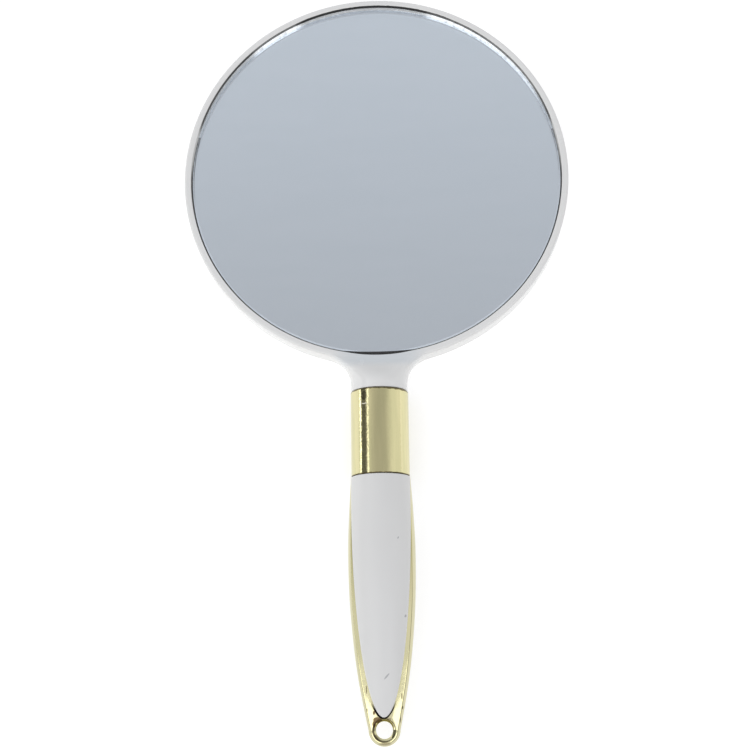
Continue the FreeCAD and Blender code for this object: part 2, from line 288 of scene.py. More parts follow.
def addTipShadow(s, place, tone, tipShadow):
    # painted shadow: a dark line in the gold along the outside of the panel's tip, where the panel's end
    # stands above the band
    px, py, _ = s.split(place)
    dx, dy = px / leafHalf, (py - leafMiddle) / leafLong
    steep = ((dx / leafHalf) ** 2.0 + (dy / leafLong) ** 2.0).root()
    away = (dx * dx + dy * dy - 1.0) / (steep * 2 * mm)         # mm outside the outline
    low = 1.0 - s.step(py - leafLow.y, *tipShadow["reach"])
    width = tipShadow["width"] * (1.0 - s.step(px, *tipShadow["thinFrom"]) * tipShadow["thin"])
    ragged = (s.noise(place, tipShadow["scale"], 2.0) - 0.5) * tipShadow["ragged"]
    line = (1.0 - s.step(away + ragged, width, width + tipShadow["soft"])) * low
    return s.blend(line, tone, tipShadow["colour"])


def addSeamDarkening(s, place, tone, seamDarkening):
    # darker at both ends of the collar: brown specks and a thin dark line by each seam
    px, py, _ = s.split(place)
    fromTop = (collarHigh.y - py) / mm
    fromEnd = (py - collarLow.y) / mm
    ragged = s.noise(place, seamDarkening["scale"], 3.0, 0.65) * seamDarkening["ragged"]
    right = s.step(px, *seamDarkening["rightFrom"]) * seamDarkening["right"]
    top = 1.0 - s.step(fromTop - ragged - right, -0.05, 0.12)
    end = 1.0 - s.step(fromEnd - ragged * seamDarkening["endShare"], -0.05, 0.1)
    tone = s.blend(top * seamDarkening["depth"], tone, seamDarkening["colour"])
    return s.blend(end * seamDarkening["depth"], tone, seamDarkening["colour"])


def mirrorSilver(name, look):
    # clean silver that has gone black in a ragged line along the edge, none at the top; wider at the foot,
    # where the extra black is painted shade
    s = newSurface(name)
    px, py, _ = s.split(s.where())
    up, edge = fromGlassEdge(px, py)
    place = s.join(px, py, 0.0)
    ragged = s.noise(place, look["raggedScale"], 3.0, 0.65)
    atTop = s.step(up, *look["topFrom"])
    atFoot = s.step(0.0 - up, *look["footFrom"])
    width = look["edgeWidth"] + atTop * look["topWidth"] + atFoot * look["footShadeWidth"]
    width = width + (ragged - 0.5) * look["ragged"] * (0.2 + atTop)
    dark = 1.0 - s.step(edge - width, -0.12, 0.12)
    lines = s.noise(s.join(px * 0.15, py, 0.0), look["lineScale"], 2.0)
    silver = s.blend(s.step(lines, 0.35, 0.65), look["silver"], look["silverLight"])
    blotch = s.step(s.noise(place, look["blotchScale"], 2.0), 0.45, 0.62)
    spoiled = s.blend(blotch, look["spoiled"], look["spoiledLight"])
    tone = s.blend(dark, silver, spoiled)
    return s.finish(s.principled({
        "Base Color": tone, "Metallic": 1.0 - dark * 0.8, "Roughness": dark * 0.35 + 0.002}))


def clearGlass(name, look):
    # float glass: clear, with the faintest smear of handling
    s = newSurface(name)
    smear = s.step(s.noise(s.where(), look["smearScale"], 4.0, 0.6), 0.5, 0.8)
    shader = s.principled({
        "Base Color": look["tint"], "Roughness": smear * look["smear"], "IOR": look["ior"],
        "Transmission Weight": 1.0})
    # painted shadow: a black band over the edge of the glass at the foot
    px, py, _ = s.split(s.where())
    up, edge = fromGlassEdge(px, py)
    width = s.step(0.0 - up, look["footFrom"], 1.0) * look["footShadow"]
    covered = 1.0 - s.step(edge - width, -0.05, 0.04)
    paintedShadow = s.principled({"Base Color": look["paintedShadow"], "Roughness": look["shadowRough"]})
    return s.finish(s.node("MixShader", sockets={0: covered, 1: shader, 2: paintedShadow}))


def backingPaint(name, look):
    s = newSurface(name)
    px, py, pz = s.split(s.where())
    roller = s.noise(s.join(px * look["drawn"], py, pz), look["rollerScale"], 3.0)
    tone = s.blend(roller, look["dark"], look["light"])
    normal = s.bump(roller, look["rollerHeight"])
    return s.finish(s.principled({
        "Base Color": tone, "Roughness": 0.5 + roller * 0.2, "Normal": normal}))


def foamTape(name, look):
    s = newSurface(name)
    sockets = {"Vector": s.where(), "Scale": look["scale"]}
    cells = s.node("TexVoronoi", {"feature": "DISTANCE_TO_EDGE"}, sockets)
    wall = 1.0 - s.step(cells, 0.02, 0.22)
    tone = s.blend(wall, look["cell"], look["wall"])
    return s.finish(s.principled({
        "Base Color": tone, "Roughness": 0.85 - wall * 0.1, "Normal": s.bump(wall, look["height"])}))


def screwSteel(name, look):
    s = newSurface(name)
    place = s.where()
    brushed = s.noise(place, look["brushScale"], 3.0)
    dull = s.step(s.noise(place, look["dullScale"], 2.0), 0.4, 0.7)
    return s.finish(s.principled({
        "Base Color": s.blend(dull, look["bright"], look["dull"]), "Metallic": 1.0,
        "Roughness": 0.22 + brushed * 0.2, "Normal": s.bump(brushed, look["brushHeight"])}))


# mesh making

weld = 0.001 * mm                # points nearer than this are one


def addObject(name, data):
    made = bpy.data.objects.new(name, data)
    bpy.context.scene.collection.objects.link(made)
    return made


class Skin:
    # the patches of one piece, joined where their edges meet
    def __init__(self):
        self.points = []
        self.faces = []

    def patch(self, rows, wrap=False, close=False):
        # rows of points, all as long; wrap joins the last row to the first, close joins each row's ends
        first = len(self.points)
        wide = len(rows[0])
        for row in rows:
            self.points.extend(Vector(p) for p in row)
        lines = len(rows) if wrap else len(rows) - 1
        steps = wide if close else wide - 1
        for i in range(lines):
            below, above = first + i * wide, first + (i + 1) % len(rows) * wide
            for j in range(steps):
                k = (j + 1) % wide
                self.faces.append((below + j, below + k, above + k, above + j))

    def mirrored(self, level):
        # the same patches again, turned over about a level
        count = len(self.points)
        self.points.extend([Vector((p.x, p.y, 2 * level - p.z)) for p in self.points])
        self.faces.extend([tuple(count + i for i in reversed(face)) for face in self.faces])

    def piece(self, name, material, sharp=40.0):
        mesh = bpy.data.meshes.new(name)
        work = bmesh.new()
        corners = [work.verts.new(p) for p in self.points]
        for face in self.faces:
            work.faces.new([corners[i] for i in face])
        bmesh.ops.remove_doubles(work, verts=work.verts, dist=weld)
        bmesh.ops.dissolve_degenerate(work, edges=work.edges, dist=weld / 2)
        bmesh.ops.recalc_face_normals(work, faces=work.faces)
        openEdges = sum(1 for edge in work.edges if len(edge.link_faces) != 2)
        work.to_mesh(mesh)
        work.free()
        mesh.shade_smooth()
        mesh.set_sharp_from_angle(angle=radians(sharp))
        made = addObject(name, mesh)
        made.data.materials.append(material)
        flat = made.modifiers.new("flatFacesStayFlat", "WEIGHTED_NORMAL")
        flat.keep_sharp = True
        print("made", name, len(mesh.polygons), "faces, open edges", openEdges)
        return made


def shares(count):
    # 0 to 1 in equal steps
    return [i / count for i in range(count + 1)]


def rounded(corners, steps=6):
    # an outline of (across, up, radius) corners, with an arc at each corner that has a radius
    spots = []
    for i, (a, b, radius) in enumerate(corners):
        corner = Vector((a, b))
        if not radius or i in (0, len(corners) - 1):
            spots.append(corner)
            continue
        back = (Vector(corners[i - 1][:2]) - corner).normalized()
        onward = (Vector(corners[i + 1][:2]) - corner).normalized()
        half = back.angle(onward) / 2
        centre = corner + (back + onward).normalized() * radius / sin(half)
        start = corner + back * radius / tan(half) - centre
        end = corner + onward * radius / tan(half) - centre
        sweep = start.angle(end)
        for share in shares(steps):
            spots.append(centre + (start * sin((1 - share) * sweep)
                                   + end * sin(share * sweep)) / sin(sweep))
    return spots


def roundTheHead(skin, outline, steps):
    # turns an outline of (radius, height) about the head's upright axis
    rows = []
    for i in range(steps):
        angle = 2 * pi * i / steps
        rows.append([(p.x * sin(angle), headY - p.x * cos(angle), p.y) for p in outline])
    skin.patch(rows, wrap=True)


def smooth(share):
    share = min(1.0, max(0.0, share))
    return share * share * (3 - 2 * share)


def mix(first, second, share):
    return first + (second - first) * share


def standsFor(piece, node=None):
    # puts a piece on the one body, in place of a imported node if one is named
    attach(piece, "root")
    if node:
        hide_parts(node)


# glass, silvering and paint

glass = {
    "bevel": 0.5 * mm,           # width of the ground edge
    "bevelDepth": 0.18 * mm,
    "edgeRound": 0.06 * mm,
    "gap": 0.01 * mm,            # keeps the layers from touching
    "steps": 256,
}

glassLook = {
    "tint": colour(0.97, 0.985, 0.985), "ior": 1.52, "smearScale": 55.0, "smear": 0.012,
    # painted shadow at the foot of the glass
    "paintedShadow": colour(0.01, 0.01, 0.011), "shadowRough": 0.4,
    "footFrom": 0.98, "footShadow": 0.82,     # share of the radius where it starts, and its width in mm
}
silverLook = {
    "silver": colour(0.802, 0.857, 0.95), "silverLight": colour(0.812, 0.865, 0.958),
    "spoiled": colour(0.012, 0.012, 0.014), "spoiledLight": colour(0.2, 0.2, 0.2),
    # the foot's extra width is painted shade
    "edgeWidth": 0.3, "topWidth": -0.7, "footShadeWidth": 0.5, "ragged": 0.2,     # mm, top and foot added
    "topFrom": (0.25, 0.27), "footFrom": (0.93, 0.99), "raggedScale": 900.0, "blotchScale": 420.0,
    "lineScale": 160.0,
}
edgeLook = {
    "pale": colour(0.85, 0.87, 0.88), "grey": colour(0.5, 0.52, 0.53), "grainScale": 700.0,
    "glint": colour(0.97, 0.985, 1.0), "topGlint": 0.27, "sideGlint": 0.7, "glintFade": 8 * mm,
    # where the glint on each side starts and stops, as shares of the glass's radius
    "glints": (((-0.70, -0.62), (-0.45, -0.38)), ((0.26, 0.34), (0.82, 0.95))),
    "steepBelow": 0.3,                      # faces whose normal rises less than this are ground
}
paintLook = {"dark": colour(0.14, 0.15, 0.16), "light": colour(0.22, 0.23, 0.24), "drawn": 0.2,
             "rollerScale": 900.0, "rollerHeight": 0.02 * mm}


def groundEdge(name, look):
    # pale ground edge of the glass, with painted glints: it glows on both sides of the top, and faintly
    # across it
    s = newSurface(name)
    place = s.where()
    px, py, _ = s.split(place)
    grain = s.noise(place, look["grainScale"], 3.0, 0.6)
    out = px / glassRadius
    left, right = (s.step(out, *start) * (1.0 - s.step(out, *stop)) for start, stop in look["glints"])
    sides = (left + right) * s.step(grain, 0.3, 0.5) * look["sideGlint"]
    # painted highlight: the edge glows by emission, brighter in a band on each side of the top
    lit = (sides + look["topGlint"]) * s.step(py, headY, headY + look["glintFade"])
    return s.finish(s.principled({
        "Base Color": s.blend(grain, look["pale"], look["grey"]), "Roughness": 0.6 - grain * 0.1,
        "Emission Color": s.blend(lit, colour(0, 0, 0), look["glint"]), "Emission Strength": 1.0}))


def makeGlass():
    outer, inner = glassRadius, glassRadius - glass["bevel"]
    shoulder, low = glassHigh.z - glass["bevelDepth"], glassLow.z + glass["gap"]
    soft = glass["edgeRound"]
    outline = rounded([(0, low, 0), (outer, low, soft), (outer, shoulder, soft),
                       (inner, glassHigh.z, soft), (0, glassHigh.z, 0)], 3)
    skin = Skin()
    roundTheHead(skin, outline, glass["steps"])
    made = skin.piece("bevelledGlass", clearGlass("clearGlass", glassLook), 20.0)
    made.data.materials.append(groundEdge("groundEdge", edgeLook))
    for face in made.data.polygons:
        if abs(face.normal.z) < edgeLook["steepBelow"]:
            face.material_index = 1
    return made


def makeLayer(name, low, high, material):
    skin = Skin()
    outline = rounded([(0, low, 0), (glassRadius, low, 0), (glassRadius, high, 0), (0, high, 0)])
    roundTheHead(skin, outline, glass["steps"])
    return skin.piece(name, material, 20.0)


standsFor(makeGlass(), "mirror_glass")
standsFor(makeLayer("silverLayer", silverLow.z, silverHigh.z, mirrorSilver("silvering", silverLook)),
          "mirror_silvering")
standsFor(makeLayer("backingPaintLayer", paintLow.z, paintHigh.z - glass["gap"],
                    backingPaint("backingPaint", paintLook)), "mirror_backing_paint")


# head frame: rim, side wall, floor and neck in one moulding

head = {
    "rimAboveGlass": 0.5 * mm,
    "glassGap": 0.4 * mm,
    "faceRound": 0.9 * mm,       # outer edge of the rim's face
    "lipRound": 0.22 * mm,       # inner edge of the rim's face
    "footRound": 0.3 * mm,
    "sideDepth": 7.6 * mm,       # side wall, from the face to its lower edge
    "floorTop": 4.55 * mm,       # below the face
    "floorUnder": 6.55 * mm,
    "neckRadius": 9.2 * mm,
    "neckFillet": 10.0 * mm,     # round corner between rim and neck, seen from the front
    "neckEdge": 0.2 * mm,
    "neckGap": 0.15 * mm,        # seam between neck and collar
    "plugRadius": 8.46 * mm,
    "tangRadius": 5.0 * mm,
    "tangReach": 20.0 * mm,
    "tangChamfer": 0.5 * mm,
    "neckSpread": 42,            # degrees up and down the neck's side that the rim's side wall spreads over
    "rimSteps": 240,
    "wallSteps": 6,
    "roundSteps": 8,             # along the rounds of the side wall
    "windowSteps": 28,           # across the neck's root
    "cornerSteps": 18,           # along the round corner
    "straightSteps": 3,          # from the round corner to the collar
}
lipRadius = glassRadius + head["glassGap"]
faceZ = glassHigh.z + head["rimAboveGlass"]
# painted bluish shade on the rim just below the glass
paintedFootShade = {"start": -3.6 * mm, "end": -6.8 * mm, "top": 2 * mm, "halfWidth": 17 * mm, "share": 0.62,
            "colour": colour(0.6, 0.655, 0.70)}
# painted shadow on the rim's inner lip
lipShadow = {"footFrom": 0.98, "foot": 0.3, "topFrom": (0.9, 0.93), "top": 0.07, "sideFrom": (0.2, 0.35),
           "side": 0.07, "ragged": 0.24, "scale": 750.0, "colour": colour(0.008, 0.008, 0.009)}
headWhite = {
    "light": colour(0.83, 0.83, 0.82), "shade": colour(0.805, 0.805, 0.795),
    "cloudScale": 22.0, "peelScale": 420.0, "peelHeight": 0.012 * mm, "rubScale": 130.0, "roughness": 0.2,
    "rubRoughness": 0.08, "cloudRoughness": 0.02, "ior": 1.49, "coat": 0.25, "coatRoughness": 0.05,
}
frontWhite = {**headWhite, "paintedFootShade": paintedFootShade, "lipShadow": lipShadow}


def roundHeadPoint(angle, radius, height):
    return Vector((radius * sin(angle), headY - radius * cos(angle), height))


def makeHeadFrame():
    face, lip = faceZ, lipRadius
    foot = face - head["sideDepth"]
    soft, footSoft = head["faceRound"], head["footRound"]
    arc, wallSteps, windowSteps = head["roundSteps"], head["wallSteps"], head["windowSteps"]
    neck, fillet, tang = head["neckRadius"], head["neckFillet"], head["tangRadius"]
    # the outside, from the face's edge over the round and down the wall to the foot
    outside = rounded([(headRadius - 1.2 * soft, face, 0), (headRadius, face, soft),
                       (headRadius, foot, footSoft), (headRadius - 2 * footSoft, foot, 0)], arc)
    outside = outside[1:-1]
    wall = [Vector((headRadius, mix(face - soft, foot + footSoft, t))) for t in shares(wallSteps)[1:-1]]
    outside = outside[:arc + 1] + wall + outside[arc + 1:]
    inside = rounded([(outside[0].x, face, 0), (lip, face, head["lipRound"]),
                      (lip, face - head["floorTop"], head["lipRound"]),
                      (0, face - head["floorTop"], 0)], 5)
    under = rounded([(outside[-1].x, foot, 0), (lip, foot, head["lipRound"]),
                     (lip, face - head["floorUnder"], head["lipRound"]),
                     (0, face - head["floorUnder"], 0)], 3)

    # the neck's root takes up a window in the outside
    cornerX = neck + fillet
    centres = headRadius + fillet
    cornerReach = sqrt(centres ** 2 - cornerX ** 2)
    half = atan2(cornerX, cornerReach)
    window = [mix(-half, half, t) for t in shares(windowSteps)]
    rest = [mix(half, 2 * pi - half, t) for t in shares(head["rimSteps"])]

    skin = Skin()
    for outline in (inside, under):
        rows = [[roundHeadPoint(a, p.x, p.y) for p in outline] for a in window[:-1] + rest[:-1]]
        skin.patch(rows, wrap=True)
    skin.patch([[roundHeadPoint(a, p.x, p.y) for p in outside] for a in rest])

    # the window's edge, all the way round, and where each point goes on the neck's end
    lengths = [0.0]
    for p, q in zip(outside, outside[1:]):
        lengths.append(lengths[-1] + (q - p).length)
    spread = radians(head["neckSpread"])
    ring = []
    for i, a in enumerate(window[:-1]):
        turn = pi - spread - (pi - 2 * spread) * i / windowSteps
        ring.append((roundHeadPoint(a, outside[0].x, face), turn))
    for p, length in list(zip(outside, lengths))[:-1]:
        ring.append((roundHeadPoint(half, p.x, p.y), spread - 2 * spread * length / lengths[-1]))
    for i, a in enumerate(reversed(window[1:])):
        turn = -spread - (pi - 2 * spread) * i / windowSteps
        ring.append((roundHeadPoint(a, outside[-1].x, foot), turn))
    for p, length in list(zip(outside, lengths))[:0:-1]:
        turn = spread - pi - 2 * spread * (1 - length / lengths[-1])
        ring.append((roundHeadPoint(-half, p.x, p.y), turn))

    # rings down the neck: round corner first, then straight to the collar
    neckEnd = headY - (collarHigh.y + head["neckGap"])
    sideStart = headRadius * cos(half)
    startWidth = headRadius * sin(half)
    lean = asin((cornerReach - sideStart) / fillet)
    reaches = []
    for t in shares(head["cornerSteps"]):
        angle = lean * (1 - t)
        reaches.append((cornerReach - fillet * sin(angle), cornerX - fillet * cos(angle)))
    straight = neckEnd - head["neckEdge"]
    reaches += [(mix(cornerReach, straight, t), neck) for t in shares(head["straightSteps"])[1:]]
    rings = []
    for reach, width in reaches:
        along = (reach - sideStart) / (straight - sideStart)
        rise = smooth((reach - sideStart) / (cornerReach - sideStart))
        row = []
        for start, turn in ring:
            x = width * mix(start.x / startWidth, cos(turn), rise)
            y = mix(start.y, headY - straight, along)
            z = mix(start.z, axisZ + neck * sin(turn), rise)
            row.append((x, y, z))
        rings.append(row)
    # the end of the neck, the plug in the collar and the tang
    tangEnd = collarLow.y - head["tangReach"]
    edge, chamfer = head["neckEdge"], head["tangChamfer"]
    small = neck - edge
    ends = [(small + edge * cos(radians(a)), headY - straight - edge * sin(radians(a)))
            for a in (30, 60, 90)]
    ends += [(head["plugRadius"], headY - neckEnd), (head["plugRadius"], jointY),
             (tang, jointY), (tang, tangEnd + chamfer), (tang - chamfer, tangEnd), (0.0, tangEnd)]
    for radius, y in ends:
        rings.append([(radius * cos(turn), y, axisZ + radius * sin(turn)) for _, turn in ring])
    skin.patch(rings, close=True)
    return skin.piece("rimAndNeck", whitePlastic("headWhite", frontWhite))


standsFor(makeHeadFrame(), "head_frame")


# back cover

cover = {
    "flatRadius": 46.0 * mm,
    "inset": 0.3 * mm,           # stands in from the side wall
    "wall": 2.0 * mm,
    "lipWall": 1.6 * mm,
    "topBelowFace": 7.75 * mm,
    "edgeRound": 0.15 * mm,
    "edgeLand": 0.2 * mm,        # the dish stops this far in from the edge
    "gap": 0.1 * mm,             # round the lip that fits into the frame
    "arcSteps": 24,
    "insideSteps": 12,
    "steps": 240,
}


def makeBackCover():
    top = faceZ - cover["topBelowFace"]
    edge = headRadius - cover["inset"]
    flat = cover["flatRadius"]
    run = edge - flat
    sweep = (run ** 2 + top ** 2) / (2 * top)            # radius of the dish's round

    def dish(radius, across):
        return Vector((across, sweep - sqrt(radius ** 2 - (across - flat) ** 2)))

    lipOuter = lipRadius - cover["gap"]
    lipInner = lipOuter - cover["lipWall"]
    lipTop = faceZ - head["floorUnder"] - cover["gap"]
    outline = [Vector((0, 0))] + [dish(sweep, flat + run * t) for t in shares(cover["arcSteps"])[:-1]]
    last = dish(sweep, edge - cover["edgeLand"])
    outline += rounded([(last.x, last.y, 0), (edge, top, cover["edgeRound"]), (lipOuter, top, 0)], 4)
    outline += [Vector((lipOuter, lipTop)), Vector((lipInner, lipTop))]
    outline += [dish(sweep - cover["wall"], mix(lipInner, flat, t)) for t in shares(cover["insideSteps"])]
    outline += [Vector((0, cover["wall"]))]
    skin = Skin()
    roundTheHead(skin, outline, cover["steps"])
    return skin.piece("dishedBack", whitePlastic("backWhite", headWhite))


standsFor(makeBackCover(), "head_back_cover")


# collar

collarShape = {"wall": 0.9 * mm, "edge": 0.32 * mm, "steps": 160, "rows": 12}
goldLook = {
    "cool": colour(0.685, 0.645, 0.37), "warm": colour(0.755, 0.70, 0.405), "pit": colour(0.2, 0.15, 0.05),
    "drawn": 0.08, "waveScale": 300.0, "waveHeight": 0.05 * mm, "tintScale": 420.0,
    "rippleScale": 800.0, "rippleHeight": 0.035 * mm, "pitScale": 1100.0, "pitFrom": (0.84, 0.87),
    "pitDepth": 0.6, "pitRoughness": 0.25, "roughness": 0.035, "rippleRoughness": 0.05,
    "dull": colour(0.6, 0.57, 0.37), "shadedSides": 0.0, "sideFrom": (0.8, 0.93), "wearAndReflection": (),
}


def makeCollar():
    radius = (collarHigh.x - collarLow.x) / 2
    inner = radius - collarShape["wall"]
    soft = collarShape["edge"]
    outline = rounded([(inner, collarHigh.y, 0), (radius, collarHigh.y, soft),
                       (radius, collarLow.y, soft), (inner, collarLow.y, 0)], 6)
    middle = [Vector((radius, mix(collarHigh.y - soft, collarLow.y + soft, t)))
              for t in shares(collarShape["rows"])[1:-1]]
    half = len(outline) // 2
    outline = outline[:half] + middle + outline[half:]
    skin = Skin()
    turned = []
    for i in range(collarShape["steps"]):
        angle = 2 * pi * i / collarShape["steps"]
        turned.append([(p.x * cos(angle), p.y, axisZ + p.x * sin(angle)) for p in outline])
    skin.patch(turned, wrap=True, close=True)
    return skin.piece("goldCollar", goldPlating("collarGold", collarLook), 50.0)


collarLook = {
    **goldLook,
    "seamDarkening": {"scale": 700.0, "ragged": 0.85, "endShare": 0.7, "rightFrom": (-1 * mm, 4 * mm), "right": 0.2,
              "depth": 0.85, "colour": colour(0.08, 0.055, 0.02)},
    # painted reflection of a dark band: a mottled dark strip down the left of the front, black by the neck,
    # and one pale nick across it
    "wearAndReflection": (
        {"spots": ((-4.75, -27.8, 1.0, 14.2),), "scale": 1500.0, "ragged": 3.6, "depth": 0.35,
         "rough": 0.1, "colour": colour(0.1, 0.09, 0.06)},
        {"spots": ((-4.8, -16.3, 0.85, 1.9),), "scale": 1100.0, "ragged": 1.4, "depth": 0.75,
         "rough": 0.1, "colour": colour(0.06, 0.05, 0.03)},
        {"spots": ((-4.7, -19.0, 1.2, 0.14),), "scale": 900.0, "ragged": 0.8, "depth": 0.9,
         "rough": 0.5, "colour": colour(0.92, 0.9, 0.78)},
    ),
}
standsFor(makeCollar(), "collar")


# handle core: gold band, round end and hang hole

grip = {
    # share of the way from collar to hole: half width, crown over the panels, band's half height, bulge
    "shape": ((0.0, 9.6, 9.6, 3.3, 0.6), (0.14, 10.33, 9.55, 3.9, 0.8), (0.29, 10.78, 9.55, 4.3, 1.05),
              (0.48, 10.52, 9.12, 4.1, 1.05), (0.67, 9.35, 7.61, 3.6, 1.0), (0.81, 7.9, 5.63, 3.1, 0.95),
              (0.925, 6.22, 3.88, 2.8, 0.9), (1.0, 5.0, 3.1, 2.6, 0.85)),
    "seam": 0.15 * mm,
    "tipRadius": 5.0 * mm,
    "holeRadius": 2.6 * mm,
    "countersink": 1.0 * mm,
    "holeLip": 0.18 * mm,
    "bandEdge": 0.28 * mm,       # rounding between the band's face and its side
    "dome": 0.34 * mm,           # how much the band's face rises to its middle
    "faceToHole": 6.5 * mm,      # where the face's columns start to fan out round the hole
    "coneFoot": (0.12 * mm, 1.72 * mm),     # end of the countersink: out from the bore, up from the axis
    "boreTop": 1.5 * mm,
    "edgeSteps": 5,              # over the band's edge
    "sideSteps": 10,             # from its edge to its middle
    "faceRows": 70,
    "faceColumns": 24,
    "holeRows": 12,
    "faceRings": 7,              # from the face's border in to the countersink
    "tipSteps": 32,
}
leaf = {
    "shoulder": 7.1 * mm,        # straight sides, from the collar
    "edge": 0.32 * mm,           # rounding along the panel's outline
    "sink": 0.02 * mm,
    "edgeSteps": (0.0, 0.02, 0.06, 0.11, 0.17, 0.24, 0.32, 0.5, 0.85, 1.5),     # in from the outline, mm
    "rows": 72,
    "crowding": 0.35,            # how far the rows gather at both ends
    "columns": 14,               # from the edge steps to the middle
}
leafHalf = leafHigh.x
leafMiddle = collarLow.y - leaf["shoulder"]
leafLong = leafMiddle - leafLow.y
gripStart = collarLow.y - grip["seam"]
holeY = coreLow.y + grip["tipRadius"]


def gripAt(y):
    # half width, crown, band's half height and bulge at a place along the grip, in metres
    rows = grip["shape"]
    share = min(1.0, max(0.0, (gripStart - y) / (gripStart - holeY)))
    i = max(k for k in range(len(rows) - 1) if rows[k][0] <= share)
    first, last = rows[i], rows[i + 1]
    span = last[0] - first[0]
    t = (share - first[0]) / span
    before = rows[i - 1] if i else first
    after = rows[i + 2] if i + 2 < len(rows) else last
    values = []
    for k in range(1, 5):
        slopeIn = (last[k] - before[k]) / (last[0] - before[0]) * span
        slopeOut = (after[k] - first[k]) / (after[0] - first[0]) * span
        values.append(mm * ((2 * t ** 3 - 3 * t ** 2 + 1) * first[k] + (t ** 3 - 2 * t ** 2 + t) * slopeIn
                            + (3 * t ** 2 - 2 * t ** 3) * last[k] + (t ** 3 - t ** 2) * slopeOut))
    return values


def bandSide(y):
    # the band's side at a place: (out from the axis, up from the axis) from the front edge to the back
    halfWidth, _, halfHeight, bulge = gripAt(y)
    flat = halfWidth - bulge
    halfHeight -= grip["dome"]
    radius = (halfHeight ** 2 + bulge ** 2) / (2 * bulge)
    centre = halfWidth - radius
    start = asin(halfHeight / radius)
    first = start - grip["bandEdge"] / radius
    edgeEnd = Vector((centre + radius * cos(first), radius * sin(first)))
    edgeStart = Vector((flat - grip["bandEdge"], halfHeight))
    corner = Vector((flat, halfHeight))
    spots = []
    for t in shares(grip["edgeSteps"])[:-1]:
        spots.append(edgeStart * (1 - t) ** 2 + corner * 2 * t * (1 - t) + edgeEnd * t ** 2)
    for t in shares(grip["sideSteps"]):
        angle = first * (1 - t)
        spots.append(Vector((centre + radius * cos(angle), radius * sin(angle))))
    return spots + [Vector((p.x, -p.y)) for p in reversed(spots[:-1])]


def faceEdge(y):
    return bandSide(y)[0].x


def faceHeight(x, y):
    # the band's gently domed front face, measured from the axis
    out = hypot(x, min(0.0, y - holeY)) / faceEdge(max(y, holeY))
    return gripAt(y)[2] - grip["dome"] * min(1.0, out) ** 2


def makeCore():
    split = holeY + grip["faceToHole"]
    ends = [mix(gripStart, split, t) for t in shares(grip["faceRows"])]
    sides = [mix(split, holeY, t) for t in shares(grip["holeRows"])]
    outer = faceEdge(split)
    corner = atan2(split - holeY, outer)
    fan = [mix(corner, pi - corner, t) for t in shares(grip["faceColumns"])]
    across = [(split - holeY) / tan(a) / outer for a in fan]

    skin = Skin()
    # the front face above the hole
    skin.patch([[(faceEdge(y) * c, y, axisZ + faceHeight(faceEdge(y) * c, y)) for c in across]
                for y in ends])
    # the face round the hole, from its border in to the countersink
    border = [Vector((faceEdge(y), y)) for y in reversed(sides)]
    border += [Vector((outer * c, split)) for c in across[1:]]
    border += [Vector((-faceEdge(y), y)) for y in sides[1:]]
    tipFlat = faceEdge(holeY)
    tip = [pi * t for t in shares(grip["tipSteps"])[1:-1]]
    border += [Vector((-tipFlat * cos(a), holeY - tipFlat * sin(a))) for a in tip]
    bore, lip = grip["holeRadius"], grip["holeLip"]
    rim = bore + grip["countersink"]
    coneOut, coneUp = grip["coneFoot"]
    centre = Vector((0.0, holeY))
    rings = []
    for spot in border:
        angle = atan2(spot.y - holeY, spot.x)
        ray = Vector((cos(angle), sin(angle)))
        hole = centre + ray * (rim + lip)
        row = []
        for t in shares(grip["faceRings"]):
            p = spot.lerp(hole, t)
            row.append((p.x, p.y, axisZ + faceHeight(p.x, p.y)))
        top = faceHeight(hole.x, hole.y)
        for radius, height in ((rim + 0.4 * lip, top - 0.12 * lip), (rim - 0.1 * lip, top - 0.45 * lip),
                               (rim - 0.5 * lip, top - 0.85 * lip),
                               (bore + coneOut, coneUp), (bore, grip["boreTop"]), (bore, 0.0)):
            p = centre + ray * radius
            row.append((p.x, p.y, axisZ + height))
        rings.append(row)
    skin.patch(rings, wrap=True)
    skin.mirrored(axisZ)
    # the side, down the right, round the tip and up the left
    strip = []
    stations = ends + sides[1:]
    for y in stations:
        strip.append([(p.x, y, axisZ + p.y) for p in bandSide(y)])
    tipSide = bandSide(holeY)
    for a in tip:
        strip.append([(p.x * cos(a), holeY - p.x * sin(a), axisZ + p.y) for p in tipSide])
    for y in reversed(stations):
        strip.append([(-p.x, y, axisZ + p.y) for p in bandSide(y)])
    skin.patch(strip)
    # the end against the collar
    side = bandSide(gripStart)
    outer = faceEdge(gripStart)
    skin.patch([[(outer * c, gripStart, axisZ + sign * faceHeight(outer * c, gripStart))
                 for c in across] for sign in (1, -1)])
    half = len(side) // 2
    for sign in (1, -1):
        ladder = [[(sign * side[i].x, gripStart, axisZ + side[i].y),
                   (sign * side[i].x, gripStart, axisZ - side[i].y)] for i in range(half + 1)]
        skin.patch(ladder)
    return skin.piece("goldBand", goldPlating("bandGold", bandLook), 32.0)


